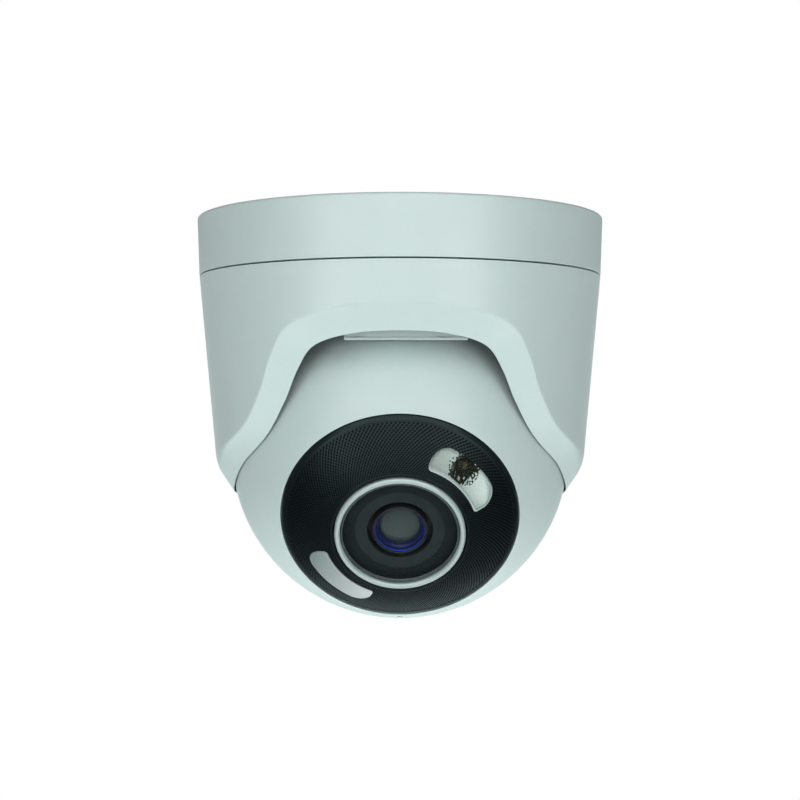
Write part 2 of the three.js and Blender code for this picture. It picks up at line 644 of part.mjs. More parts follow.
// ---------------------------------------------------------------- service hatch
add(ball, 'service_board', block(-12, 14, -17.3, -16.1, -33, -19), BOARD);
add(ball, 'card_socket', subtract(
  block(-7.8, 5.8, -21.6, -17.6, -32, -18.6),
  block(-6.9, 4.9, -20.4, -18.6, -33, -19.4),
), STEEL);
add(ball, 'memory_card', block(-6.5, 4.5, -20, -19, -34, -20), CHIP);
add(ball, 'reset_switch', subtract(
  block(8.2, 12.8, -21.6, -17.6, -32.6, -28),
  rod(RESET_X, RESET_Y, 1.3, -34, -31.2, 12),
), CHIP);
add(ball, 'reset_button', rod(RESET_X, RESET_Y, 1, -34.2, -31.8, 16), WHITE_PLASTIC);
const { x0: hatchX0, x1: hatchX1, y0: hatchY0, y1: hatchY1 } = ACCESS;
add(ball, 'hatch_cover', block(
  hatchX0 + GAP, hatchX1 - GAP, hatchY0 + GAP, hatchY1 - GAP, BALL_REAR + 0.1, BALL_REAR + 1.1,
), PAINT);
add(ball, 'hatch_gasket', subtract(
  block(hatchX0 + GAP, hatchX1 - GAP, hatchY0 + GAP, hatchY1 - GAP, BALL_REAR + 1.4, BALL_REAR + 2),
  block(hatchX0 + 1.2, hatchX1 - 1.2, hatchY0 + 1, hatchY1 - 1, BALL_REAR, BALL_REAR + 3),
), RUBBER);

export default camera;
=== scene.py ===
"""Looks of a ceiling turret camera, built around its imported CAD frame.

Lengths in this script are millimetres, turned into metres as each mesh is made. The ball's own
frame has +Z out of the lens, +Y up and +X to the right, with its origin at the ball's centre.
"""
import bpy
import bmesh
import json
from math import asin, atan2, cos, degrees, hypot, pi, radians, sin, sqrt
from mathutils import Matrix, Vector


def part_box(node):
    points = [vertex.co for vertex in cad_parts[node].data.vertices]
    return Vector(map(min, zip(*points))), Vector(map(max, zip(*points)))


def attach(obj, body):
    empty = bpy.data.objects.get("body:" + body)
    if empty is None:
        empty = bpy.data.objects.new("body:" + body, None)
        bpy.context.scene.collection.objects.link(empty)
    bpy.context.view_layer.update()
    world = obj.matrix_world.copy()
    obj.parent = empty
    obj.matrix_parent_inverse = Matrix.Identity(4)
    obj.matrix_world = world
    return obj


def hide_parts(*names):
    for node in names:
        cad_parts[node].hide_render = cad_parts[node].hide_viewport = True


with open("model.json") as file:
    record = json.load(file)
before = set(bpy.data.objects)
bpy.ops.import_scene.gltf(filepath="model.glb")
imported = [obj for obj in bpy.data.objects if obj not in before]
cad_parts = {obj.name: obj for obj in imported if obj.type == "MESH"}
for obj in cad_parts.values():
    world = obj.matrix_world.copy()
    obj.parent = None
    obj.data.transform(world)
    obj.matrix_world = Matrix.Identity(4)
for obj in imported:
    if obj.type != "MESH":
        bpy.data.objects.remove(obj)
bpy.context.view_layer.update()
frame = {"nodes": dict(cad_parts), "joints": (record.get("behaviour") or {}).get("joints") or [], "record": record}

MM = 0.001
NODES = frame["nodes"]
JOINTS = {joint["name"]: joint for joint in frame["joints"]}


# ---------------------------------------------------------------- places, from the frame
def half_width(node):
    """Half a node's size along X, in millimetres."""
    low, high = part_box(node)
    return (high[0] - low[0]) / 2 / MM


CENTRE = Vector(JOINTS["tilt"]["pos_m"])
LENS_AXIS = Vector(JOINTS["roll"]["axis"]).normalized()
LENS_DOWN = asin(-LENS_AXIS.z)
BALL_FRAME = Matrix.Translation(CENTRE) @ Matrix.Rotation(radians(90) + LENS_DOWN, 4, "X")
CENTRE_Z = CENTRE.z / MM


def depth_span(node):
    """A node's least and greatest distance along the lens axis from the ball's centre."""
    depths = [(v.co - CENTRE).dot(LENS_AXIS) / MM for v in NODES[node].data.vertices]
    return min(depths), max(depths)


BASE_RADIUS = half_width("mounting_base")
BASE_DRAFT = 0.0367
BASE_BOTTOM = -15.6
BASE_EDGE = 0.9
HOUSING_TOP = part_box("housing_shell")[1][2] / MM
SEAM_LOW = HOUSING_TOP - 0.05
HOUSING_RADIUS = 54.4
HOUSING_TAPER = 0.0935
HOUSING_WALL = 2.35
HOUSING_MIN_INNER = 47.75
FLANGE_INNER = 43.4
FLANGE_TOP = -18.2
FLANGE_BOTTOM = -21.4
RIM_INNER = 49.9
LOWEST_SHOULDER = -68.5
LOWEST_BEND = -61.5
LIP_RADIUS = 46.25
BALL_RADIUS = 45.74
BALL_INNER = 43.34
SEAM_DEPTH = -3.0
BEZEL_SPHERE = 45.4
BEZEL_RADIUS = 30.17
BEZEL_HOLE = 16.85
RING_OUTER = half_width("lens_trim_ring")
RING_INNER = 15.1
RING_FRONT = depth_span("lens_trim_ring")[1]

WINDOW_INNER = 19.3
WINDOW_OUTER = 25.85
WINDOW_FROM = 17.0
WINDOW_TO = 70.0
WINDOW_OUTER_CORNER = 4.2
WINDOW_INNER_CORNER = 1.0
LAMP_RADIUS = 22.95
LAMP_ANGLE = 46.0

# The creases of the housing's opening, as (degrees from the front, height).
OUTER_CREASE = [
    (0, -26.8), (17, -27.7), (31.5, -31.8), (38.3, -39.5), (43.2, -47.8),
    (52, -56.2), (66, -61.5), (88, -67.2), (125, -68.3), (180, -68.3),
]
INNER_CREASE = [
    (0, -33.1), (15, -33.8), (27.5, -36.6), (33.6, -42.6), (38.8, -50.5),
    (47, -58.9), (60, -65.3), (84, -73.8), (125, -75.3), (180, -75.3),
]


# ---------------------------------------------------------------- camera
def make_camera():
    data = bpy.data.cameras.new("camera")
    data.lens = 74.53
    data.sensor_width = 36
    camera = bpy.data.objects.new("camera", data)
    camera.location = (0, -0.45217, -0.0581)
    camera.rotation_euler = (radians(91.14), 0, 0)
    bpy.context.scene.collection.objects.link(camera)
    bpy.context.scene.camera = camera


make_camera()


# ---------------------------------------------------------------- material nodes
class Look:
    """A material whose node tree is put together one step at a time."""

    def __init__(self, name, roughness=0.5, metallic=0.0):
        self.material = bpy.data.materials.new(name)
        self.material.use_nodes = True
        self.tree = self.material.node_tree
        self.shader = self.tree.nodes["Principled BSDF"]
        self.shader.inputs["Roughness"].default_value = roughness
        self.shader.inputs["Metallic"].default_value = metallic

    def node(self, kind, **settings):
        made = self.tree.nodes.new(kind)
        for key, value in settings.items():
            setattr(made, key, value)
        return made

    def link(self, source, target):
        self.tree.links.new(source, target)

    def set(self, **values):
        for key, value in values.items():
            self.shader.inputs[key.replace("_", " ")].default_value = value
        return self

    def place(self):
        return self.node("ShaderNodeTexCoord").outputs["Object"]

    def noise(self, scale, detail=3.0, stretch=None):
        """Noise in object space. Its scale is in features per metre."""
        texture = self.node("ShaderNodeTexNoise")
        texture.inputs["Scale"].default_value = scale
        texture.inputs["Detail"].default_value = detail
        source = self.place()
        if stretch:
            mapping = self.node("ShaderNodeMapping")
            mapping.inputs["Scale"].default_value = stretch
            self.link(source, mapping.inputs["Vector"])
            source = mapping.outputs["Vector"]
        self.link(source, texture.inputs["Vector"])
        return texture.outputs["Fac"]

    def ramp(self, source, stops):
        ramp = self.node("ShaderNodeValToRGB")
        elements = ramp.color_ramp.elements
        elements[0].position, elements[0].color = stops[0][0], (*stops[0][1], 1)
        elements[1].position, elements[1].color = stops[-1][0], (*stops[-1][1], 1)
        for position, color in stops[1:-1]:
            elements.new(position).color = (*color, 1)
        self.link(source, ramp.inputs["Fac"])
        return ramp.outputs["Color"]

    def range(self, source, low, high, from_low=0.3, from_high=0.7):
        mapped = self.node("ShaderNodeMapRange")
        mapped.inputs["From Min"].default_value = from_low
        mapped.inputs["From Max"].default_value = from_high
        mapped.inputs["To Min"].default_value = low
        mapped.inputs["To Max"].default_value = high
        self.link(source, mapped.inputs["Value"])
        return mapped.outputs["Result"]

    def colour(self, source):
        self.link(source, self.shader.inputs["Base Color"])
        return self

    def rough(self, source):
        self.link(source, self.shader.inputs["Roughness"])
        return self

    def multiply(self, first, second):
        mix = self.node("ShaderNodeMixRGB", blend_type="MULTIPLY")
        mix.inputs["Fac"].default_value = 1
        self.link(first, mix.inputs["Color1"])
        self.link(second, mix.inputs["Color2"])
        return mix.outputs["Color"]

    def cells(self, per_metre, feature="F1"):
        """The distance output of a cell pattern in object space."""
        texture = self.node("ShaderNodeTexVoronoi", feature=feature)
        texture.inputs["Scale"].default_value = per_metre
        self.link(self.place(), texture.inputs["Vector"])
        return texture.outputs["Distance"]

    def bump(self, source, distance):
        """Bump by a height in millimetres, added to any bump made before it."""
        bump = self.node("ShaderNodeBump")
        bump.inputs["Distance"].default_value = distance * MM
        bump.inputs["Strength"].default_value = 1
        self.link(source, bump.inputs["Height"])
        target = self.shader.inputs["Normal"]
        if target.is_linked:
            self.link(target.links[0].from_socket, bump.inputs["Normal"])
        self.link(bump.outputs["Normal"], target)
        return self


def shade(color, factor):
    return tuple(channel * factor for channel in color)


def along(look, start, end):
    """From 0 to 1 between two places along the part's width."""
    split = look.node("ShaderNodeSeparateXYZ")
    look.link(look.place(), split.inputs["Vector"])
    return look.range(split.outputs["X"], 0, 1, start, end)


def mottled(name, color, roughness, metallic=0.0, cell=2.0, contrast=0.06, grain=0.004,
            grain_size=0.3, spread=0.08):
    """A solid finish with faint cloudy colour, uneven gloss and a fine surface grain.

    cell and grain_size are the sizes in millimetres of the clouds and of the grain.
    """
    look = Look(name, roughness, metallic)
    clouds = look.noise(1 / (cell * MM), 4)
    stops = [(0.3, shade(color, 1 - contrast)), (0.7, shade(color, 1 + contrast))]
    look.colour(look.ramp(clouds, stops))
    wear = look.noise(1 / (cell * MM * 2.3), 3)
    look.rough(look.range(wear, roughness - spread, roughness + spread))
    look.bump(look.noise(1 / (grain_size * MM), 2), grain)
    return look


def paint():
    """Satin paint: fine specks over faint clouds, under an even gloss."""
    look = mottled("satin_paint", (0.652, 0.806, 0.784), 0.4, cell=9, contrast=0.012,
                   grain=0.006, grain_size=0.22, spread=0.04)
    clouds = look.shader.inputs["Base Color"].links[0].from_socket
    specks = look.ramp(look.noise(3600, 1), [(0.3, (0.965, 0.965, 0.965)), (0.7, (1, 1, 1))])
    look.colour(look.multiply(clouds, specks))
    return look.set(Specular_IOR_Level=1.0).material


def bezel_black():
    look = mottled("black_gloss", (0.0040, 0.0074, 0.0086), 0.3, cell=5, contrast=0.12,
                   grain=0.0012, grain_size=0.5, spread=0.04)
    return look.set(Specular_IOR_Level=0.36, Specular_Tint=(0.7, 0.96, 1, 1)).material


def dot_painted_shade():
    """The matt black at the bottom of each dot, darker than the bezel: painted shade in the dot's hollow."""
    look = mottled("dot_painted_shade", (0.0012, 0.0020, 0.0024), 0.8, cell=2, contrast=0.2,
                   grain=0.001, grain_size=0.3)
    return look.set(Specular_IOR_Level=0.1).material


def rubber():
    return mottled("rubber", (0.017, 0.018, 0.019), 0.78, cell=3, contrast=0.2, grain=0.02,
                   grain_size=0.35).material


def brushed(name, color, roughness, stretch):
    look = Look(name, roughness, 1.0)
    lines = look.noise(2600, 4, stretch)
    look.colour(look.ramp(lines, [(0.3, shade(color, 0.86)), (0.7, color)]))
    look.rough(look.range(lines, roughness - 0.08, roughness + 0.1))
    look.bump(lines, 0.004)
    return look.material


def ring_metal():
    return mottled("satin_aluminium", (0.54, 0.66, 0.65), 0.34, 0.3, cell=1.6, contrast=0.04,
                   grain=0.001, grain_size=0.3, spread=0.05).material


def dark_mirror():
    """The dark olive of the bowl round the lamp."""
    look = mottled("dark_mirror", (0.005, 0.009, 0.003), 0.3, cell=1.2, contrast=0.3,
                   grain=0.002, grain_size=0.6, spread=0.03)
    return look.set(Specular_IOR_Level=0.2, Specular_Tint=(0.75, 1, 0.7, 1)).material


def clear_pane(name, color, alpha, roughness=0.03):
    """A thin clear pane: what is behind it shows, under the gloss of its surface."""
    look = Look(name, roughness)
    clouds = look.noise(160, 2)
    look.colour(look.ramp(clouds, [(0.3, shade(color, 0.92)), (0.7, color)]))
    look.rough(look.range(clouds, roughness, roughness + 0.03))
    return look.set(Alpha=alpha, Specular_IOR_Level=1.0).material


def frosted(name, depth):
    """Frosted plastic with painted light and shade: darker at one end, paler towards its outer end."""
    look = Look(name, 0.3)
    clouds = look.noise(420, 3)
    # the ramp along the part is painted light and shade; depth scales the whole colour down for the painted-shade
    # copy
    pale = look.ramp(along(look, -0.022, -0.004), [
        (0.0, shade((0.25, 0.33, 0.32), depth)), (1.0, shade((0.78, 0.86, 0.85), depth)),
    ])
    specks = look.ramp(clouds, [(0.3, (0.93, 0.93, 0.93)), (0.7, (1, 1, 1))])
    look.colour(look.multiply(pale, specks))
    look.rough(look.range(clouds, 0.26, 0.36))
    look.bump(look.noise(1800, 2), 0.01)
    return look.material


def cavity_painted_shade():
    """The dark colour of the housing's inside faces: painted shade that darkens the cavity round the ball."""
    return mottled("housing_inside_painted_shade", (0.10, 0.115, 0.115), 0.6, 0.5, cell=1.5, contrast=0.2,
                   grain=0.03, grain_size=0.4).material


def ground_edge():
    """The ground edge of a glass pane."""
    return mottled("ground_glass", (0.13, 0.17, 0.17), 0.3, cell=0.8, contrast=0.15, grain=0.01,
                   grain_size=0.1).material


def painted_reflection_face():
    """A vacuum-metallised plastic face whose bright colour is a painted reflection, painted lighter towards one
    end.
    """
    look = Look("metallised_painted_reflection", 0.36, 0.25)
    pale = look.ramp(along(look, 0.009, 0.021), [
        (0.0, (0.42, 0.52, 0.48)), (0.6, (0.60, 0.73, 0.68)), (1.0, (0.84, 0.97, 0.92)),
    ])
    tone = look.ramp(look.cells(2100), [(0.0, (0.86, 0.86, 0.86)), (0.5, (1, 1, 1))])
    look.colour(look.multiply(pale, tone))
    return look.material


def coated_glass(name, color, film):
    """Lens glass, dark unless given a bright base colour, which is a painted reflection of its coating; the
    coating's coloured sheen is in the coat and specular tints.
    """
    look = Look(name, 0.06)
    clouds = look.noise(300, 2)
    look.colour(look.ramp(clouds, [(0.3, shade(color, 0.9)), (0.7, color)]))
    look.set(Coat_Weight=0.3, Coat_Roughness=0.08, Coat_Tint=(*film, 1))
    return look.set(Specular_Tint=(*film, 1), Specular_IOR_Level=0.3).material


def shield_rubber():
    """The matt rubber of the light shield, a little paler than the rest."""
    look = mottled("shield_rubber", (0.016, 0.0255, 0.0265), 0.7, cell=2, contrast=0.08,
                   grain=0.002, grain_size=0.3)
    return look.set(Specular_IOR_Level=0.3).material


def mask_ink():
    """The matt black ink printed round the edge of the cover glass."""
    look = mottled("mask_ink", (0.006, 0.0115, 0.0125), 0.7, cell=2, contrast=0.08,
                   grain=0.001, grain_size=0.4)
    return look.set(Specular_IOR_Level=0.3).material


def plastic(name, color, roughness):
    return mottled(name, color, roughness, cell=3, contrast=0.1, grain=0.008,
                   grain_size=0.25).material


def circuit_board():
    look = Look("circuit_board", 0.38)
    cells = look.cells(520, "DISTANCE_TO_EDGE")
    look.colour(look.ramp(cells, [
        (0.02, (0.10, 0.20, 0.10)), (0.06, (0.012, 0.10, 0.055)), (0.4, (0.010, 0.075, 0.042)),
    ]))
    look.bump(cells, 0.02)
    return look.material


def lamp_chip():
    look = Look("lamp_phosphor", 0.3)
    clouds = look.noise(900, 2)
    look.colour(look.ramp(clouds, [(0.3, (0.022, 0.029, 0.003)), (0.7, (0.034, 0.042, 0.005))]))
    return look.set(Specular_IOR_Level=0.25).material


LOOKS = {
    "paint": paint(),
    "bezel_black": bezel_black(),
    "rubber": rubber(),
    "steel": brushed("brushed_steel", (0.62, 0.63, 0.64), 0.3, (1, 1, 0.08)),
    "ring_metal": ring_metal(),
    "reflector_chrome": dark_mirror(),
    "window_glass": clear_pane("front_glass", (0.020, 0.030, 0.032), 0.015),
    "lamp_window": clear_pane("lamp_glass", (0.42, 0.48, 0.46), 0.015),
    "lens_glass": coated_glass("lens_glass", (0.058, 0.080, 0.078), (0.9, 0.95, 1.0)),
    "black_plastic": plastic("black_plastic", (0.014, 0.015, 0.016), 0.5),
    "white_plastic": plastic("white_plastic", (0.78, 0.78, 0.75), 0.4),
    "circuit_board": circuit_board(),
    "component": plastic("component", (0.02, 0.02, 0.022), 0.35),
    "lamp_chip": lamp_chip(),
}
FROSTED = frosted("frosted_polycarbonate", 1)
# A darker copy of the frosted plastic: painted shade in the hollows between the small lenses.
FROSTED_PAINTED_SHADE = frosted("frosted_painted_shade", 0.66)
CAVITY_PAINTED_SHADE = cavity_painted_shade()
# The blue and violet base colours are painted reflections of the lens coating.
BLUE_PAINTED_REFLECTION = coated_glass("blue_coating_painted_reflection", (0.035, 0.10, 0.62), (0.35, 0.55, 1.0))
VIOLET_PAINTED_REFLECTION = coated_glass("violet_coating_painted_reflection", (0.030, 0.026, 0.15), (0.5, 0.45, 1.0))
DARK_COATING = coated_glass("dark_coating", (0.013, 0.026, 0.052), (0.6, 0.7, 1.0))
# The bright face under the lamp windows: a painted reflection.
PAINTED_REFLECTION_FACE = painted_reflection_face()
SHIELD = shield_rubber()
# The darker black in the bezel's dots is painted shade.
DOT_PAINTED_SHADE = dot_painted_shade()
MASK_INK = mask_ink()
# A pale band on the clear window's edge: a painted highlight.
WINDOW_EDGE_HIGHLIGHT = clear_pane("lamp_glass_painted_highlight", (0.59, 0.73, 0.70), 0.8, 0.2)
GROUND_EDGE = ground_edge()


# ---------------------------------------------------------------- mesh building
def clean_mesh(name, vertices, faces, finishes=None):
    """A mesh in metres with merged corners and faces pointing out."""
    mesh = bpy.data.meshes.new(name)
    mesh.from_pydata([Vector(v) * MM for v in vertices], [], faces)
    if finishes:
        mesh.polygons.foreach_set("material_index", finishes)
    work = bmesh.new()
    work.from_mesh(mesh)
    bmesh.ops.remove_doubles(work, verts=work.verts, dist=1e-7)
    bmesh.ops.dissolve_degenerate(work, edges=work.edges, dist=1e-8)
    bmesh.ops.recalc_face_normals(work, faces=work.faces)
    work.to_mesh(mesh)
    work.free()
    return mesh


def piece(name, shape, body, slot, nodes=(), place=None, look=None, second=None, flat=False,
          sharp=32):
    """Add a piece, riding on a body and standing for CAD nodes.

    The shape is vertices, faces and, where some faces have the second look, each face's finish.
    """
    mesh = clean_mesh(name, *shape)
    if place:
        mesh.transform(place)
    mesh.materials.append(look or LOOKS[slot])
    if second:
        mesh.materials.append(second)
    if flat:
        mesh.shade_flat()
    else:
        mesh.shade_smooth()
        mesh.set_sharp_from_angle(angle=radians(sharp))
    made = bpy.data.objects.new(name, mesh)
    bpy.context.scene.collection.objects.link(made)
    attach(made, body)
    if nodes:
        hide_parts(*nodes)
    return made


def cut(target, shapes, place=None):
    """Take closed shapes out of a piece."""
    for shape in shapes:
        mesh = clean_mesh("cutter", *shape)
        if place:
            mesh.transform(place)
        cutter = bpy.data.objects.new("cutter", mesh)
        bpy.context.scene.collection.objects.link(cutter)
        modifier = target.modifiers.new("cut", "BOOLEAN")
        modifier.operation = "DIFFERENCE"
        modifier.solver = "EXACT"
        modifier.object = cutter
        bpy.context.view_layer.update()
        solved = target.evaluated_get(bpy.context.evaluated_depsgraph_get())
        result = bpy.data.meshes.new_from_object(solved)
        target.modifiers.clear()
        target.data = result
        bpy.data.objects.remove(cutter)


def even_normals(target):
    """Let large faces decide the shading at rounded edges."""
    modifier = target.modifiers.new("even_normals", "WEIGHTED_NORMAL")
    modifier.keep_sharp = True


# ---------------------------------------------------------------- outlines
def arc(x, y, radius, start, end, steps):
    """Points of an arc in degrees, both ends included."""
    turns = [radians(start + (end - start) * i / steps) for i in range(steps + 1)]
    return [(x + radius * cos(t), y + radius * sin(t)) for t in turns]


def sphere_arc(radius, start, end, steps):
    """The section of a sphere between two heights, as (radius, height)."""
    return arc(0, 0, radius, degrees(asin(start / radius)), degrees(asin(end / radius)), steps)


def on_sphere(radius, r):
    return sqrt(radius * radius - r * r)


def fillet(before, corner, after, size, steps):
    """Points that turn a corner smoothly, starting and ending a size away from it."""
    start = corner + (before - corner).normalized() * min(size, (before - corner).length * 0.48)
    end = corner + (after - corner).normalized() * min(size, (after - corner).length * 0.48)
    made = []
    for i in range(steps + 1):
        t = i / steps
        made.append(start * (1 - t) ** 2 + corner * 2 * t * (1 - t) + end * t ** 2)
    return made


def rounded(outline, steps=4):
    """A closed outline of (x, y) or (x, y, size) corners with its sized corners rounded."""
    corners = [Vector((c[0], c[1])) for c in outline]
    points = []
    for i, corner in enumerate(outline):
        size = corner[2] if len(corner) > 2 else 0
        if size:
            after = corners[(i + 1) % len(corners)]
            points += [tuple(p) for p in fillet(corners[i - 1], corners[i], after, size, steps)]
        else:
            points.append((corner[0], corner[1]))
    return points


def grid_faces(columns, rows, close_columns=True, close_rows=True):
    faces = []
    for i in range(columns if close_columns else columns - 1):
        for j in range(rows if close_rows else rows - 1):
            here, there = i * rows, ((i + 1) % columns) * rows
            k = (j + 1) % rows
            faces.append((here + j, there + j, there + k, here + k))
    return faces


def revolve(outline, steps=192):
    """A closed outline of (radius, height) turned about Z."""
    vertices = []
    for i in range(steps):
        turn = 2 * pi * i / steps
        vertices += [(r * cos(turn), r * sin(turn), z) for r, z in outline]
    return vertices, grid_faces(steps, len(outline))


def prism(outline, low, high):
    count = len(outline)
    vertices = [(x, y, low) for x, y in outline] + [(x, y, high) for x, y in outline]
    sides = [(i, (i + 1) % count, count + (i + 1) % count, count + i) for i in range(count)]
    return vertices, sides + [tuple(range(count)), tuple(range(count, 2 * count))]


def inset(outline, amount):
    """A closed outline drawn in on every side. It runs anticlockwise."""
    points = [Vector(p) for p in outline]
    moved = []
    for i, point in enumerate(points):
        before = (point - points[i - 1]).normalized()
        after = (points[(i + 1) % len(points)] - point).normalized()
        turned = Vector((-before.y - after.y, before.x + after.x))
        moved.append(point + turned.normalized() * amount / max(0.5, turned.length / 2))
    return [tuple(p) for p in moved]


def soft_prism(outline, low, high, edge):
    """A prism whose edges at both ends are rounded."""
    steps = 3
    layers = []
    for i in range(steps + 1):
        turn = pi / 2 * i / steps
        layers.append((edge * (1 - sin(turn)), low + edge * (1 - cos(turn))))
    layers += [(amount, low + high - level) for amount, level in reversed(layers)]
    count = len(outline)
    vertices = [(x, y, level) for amount, level in layers for x, y in inset(outline, amount)]
    faces = grid_faces(len(layers), count, close_columns=False)
    last = (len(layers) - 1) * count
    return vertices, faces + [tuple(range(count)), tuple(range(last, last + count))]


def rectangle(left, right, low, high):
    return [(left, low), (right, low), (right, high), (left, high)]


def on_circle(radius, angle):
    return radius * cos(radians(angle)), radius * sin(radians(angle))


def disc(x, y, radius, low, high, steps=48):
    return prism(arc(x, y, radius, 0, 360 - 360 / steps, steps - 1), low, high)


def smoothstep(low, high, value):
    t = max(0.0, min(1.0, (value - low) / (high - low)))
    return t * t * (3 - 2 * t)


# ---------------------------------------------------------------- base
def base():
    """A dish with a gasket groove in its top face and a seal groove in its lower edge."""
    rim, plate, groove, seal_groove = BASE_RADIUS + BASE_DRAFT * BASE_BOTTOM, -3, -1.5, -14.2
    outline = rounded([
        (0, 0), (49.7, 0, 0.2), (49.7, groove), (53.1, groove), (53.1, 0, 0.2),
        (BASE_RADIUS, 0, BASE_EDGE), (rim, BASE_BOTTOM, 0.12),
        (52.7, BASE_BOTTOM), (52.7, seal_groove), (50.3, seal_groove), (50.3, BASE_BOTTOM),
        (49.4, BASE_BOTTOM), (49.4, plate, 1), (0, plate),
    ], 5)
    made = piece("base_body", revolve(outline, 256), "base", "paint", ["mounting_base"])
    cable_hole = disc(0, 18, 9.5, plate - 1, 1)
    screw_holes = [disc(*on_circle(34, a), 2.2, plate - 1, 1, 24) for a in (30, 150, 270)]
    retainer_holes = [disc(*on_circle(40.4, a), 1.15, plate - 1, -0.8, 24) for a in (0, 120, 240)]
    cut(made, [cable_hole] + screw_holes + retainer_holes)
    even_normals(made)


base()


# ---------------------------------------------------------------- housing
def cone_radius(z):
    return HOUSING_RADIUS + HOUSING_TAPER * (z - HOUSING_TOP)


def lip_radius(z):
    below = max(0.0, CENTRE_Z - z)
    return sqrt(LIP_RADIUS ** 2 - below ** 2)


def inner_radius(z):
    return max(cone_radius(z) - HOUSING_WALL, HOUSING_MIN_INNER)


def crease(half, steps_per_span):
    """Points of the smooth curve through a crease's points and their mirror images."""
    points = [Vector((-a, z)) for a, z in reversed(half[1:])] + [Vector(p) for p in half]
    last = len(points) - 1
    curve = []
    for span in range(last):
        before, start = points[max(span - 1, 0)], points[span]
        end, after = points[span + 1], points[min(span + 2, last)]
        leave, arrive = (end - before) / 2, (after - start) / 2
        for step in range(steps_per_span):
            t = step / steps_per_span
            curve.append(
                (2 * start - 2 * end + leave + arrive) * t ** 3
                + (3 * end - 3 * start - 2 * leave - arrive) * t ** 2 + leave * t + start
            )
    return curve


def around(angle, radius, z):
    turn = radians(angle)
    return Vector((radius * sin(turn), -radius * cos(turn), z))


def between(start, end, steps):
    return [start.lerp(end, i / steps) for i in range(1, steps)]


def height_at(curve, angle):
    """The height of a crease at an angle."""
    for start, end in zip(curve, curve[1:]):
        if angle <= end.x:
            return start.y + (end.y - start.y) * (angle - start.x) / (end.x - start.x)
    return curve[-1].y


def turned_corner(before, corner, after, size, steps):
    """A smooth turn, with a point just outside each end that keeps the turn's shading to itself."""
    points = fillet(before, corner, after, size, steps)
    leave, arrive = before - points[0], after - points[-1]
    first = points[0] + leave.normalized() * min(0.3, leave.length * 0.3)
    last = points[-1] + arrive.normalized() * min(0.3, arrive.length * 0.3)
    return [first] + points + [last]


def housing_column(outer, inner, outer_height):
    """One section of the walls: down the cone, over the chamfer, up the inside, round the flange.

    outer_height is the outer crease's height at the inner point's angle. Each row that comes back
    is a place and whether the face after it has the dark inside colour, painted shade.
    """
    (a, low), (b, lip) = outer, inner
    shoulder = max(lip + 4.5, outer_height - 0.5, LOWEST_SHOULDER)
    bend = max(shoulder + 1, LOWEST_BEND)
    lip_top = lip + 1.2
    # The crease is crisp at the front and softly rounded at the sides and the back.
    crease_round = 0.55 + 2.45 * smoothstep(62, 86, abs(a))
    corners = [  # place, size of its rounding, steps, whether the face after it has the painted shade
        (around(a, cone_radius(SEAM_LOW), SEAM_LOW), 0.12, 3, 0),
        (around(a, cone_radius(low), low), crease_round, 8, 0),
        (around(b, lip_radius(lip), lip), 0.45, 5, 0),
        (around(b, lip_radius(lip_top) + 0.2, lip_top), 0.4, 3, 1),
        (around(b, inner_radius(shoulder), shoulder), 1.5, 3, 1),
        (around(b, inner_radius(bend), bend), 0.4, 2, 1),
        (around(b, inner_radius(FLANGE_BOTTOM), FLANGE_BOTTOM), 0.8, 3, 1),
        (around(b, FLANGE_INNER, FLANGE_BOTTOM), 0.2, 2, 1),
        (around(b, FLANGE_INNER, FLANGE_TOP), 0.2, 2, 1),
        (around(b, RIM_INNER, FLANGE_TOP), 0.1, 2, 1),
        (around(b, RIM_INNER, SEAM_LOW), 0.2, 2, 0),
    ]
    rows = []
    for i, (corner, size, steps, in_painted_shade) in enumerate(corners):
        before, after = corners[i - 1][0], corners[(i + 1) % len(corners)][0]
        points = turned_corner(before, corner, after, size, steps)
        if i in (1, 2):
            rows += [(point, 0) for point in between(rows[-1][0], points[0], 8)]
        rows += [(point, in_painted_shade) for point in points]
    return rows


def housing():
    outer_curve, inner_curve = crease(OUTER_CREASE, 24), crease(INNER_CREASE, 24)
    columns = [
        housing_column(outer, inner, height_at(outer_curve, inner.x))
        for outer, inner in zip(outer_curve, inner_curve)
    ]
    vertices = [tuple(place) for column in columns for place, _ in column]
    finishes = [in_painted_shade for column in columns for _, in_painted_shade in column]
    faces = grid_faces(len(columns), len(columns[0]))
    # the inside faces take the dark second finish, painted shade
    made = piece("housing_body", (vertices, faces, finishes), "housing", "paint", ["housing_shell"],
                 second=CAVITY_PAINTED_SHADE)
    flange_middle = Matrix.Translation((0, 0, (FLANGE_TOP + FLANGE_BOTTOM) / 2 * MM))
    lock_hole = disc(0, 0, 1.25, FLANGE_INNER - 1, HOUSING_RADIUS + 1, 32)
    cut(made, [lock_hole], flange_middle @ Matrix.Rotation(-pi / 2, 4, "X"))


housing()


def brake_tab():
    """The plate whose lower edge shows just under the lip, with a thicker bead along that edge."""
    low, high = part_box("brake_plate")
    left, right, bottom = low[0] / MM, high[0] / MM, low[2] / MM
    front, back, top, bead = 40.0, 38.4, -26, 1.2
    upright = Matrix.Rotation(pi / 2, 4, "X")
    plate = rectangle(left + 0.25, right - 0.25, bottom + 0.5, top)
    piece("brake_tab", soft_prism(plate, back, front - 0.55, 0.15), "housing", "paint",
          place=upright)
    edge = rounded([(left, bottom, 0.9), (right, bottom, 0.9),
                    (right, bottom + bead, 0.35), (left, bottom + bead, 0.35)], 5)
    piece("brake_tab_bead", soft_prism(edge, back, front, 0.25), "housing", "paint", place=upright)


brake_tab()


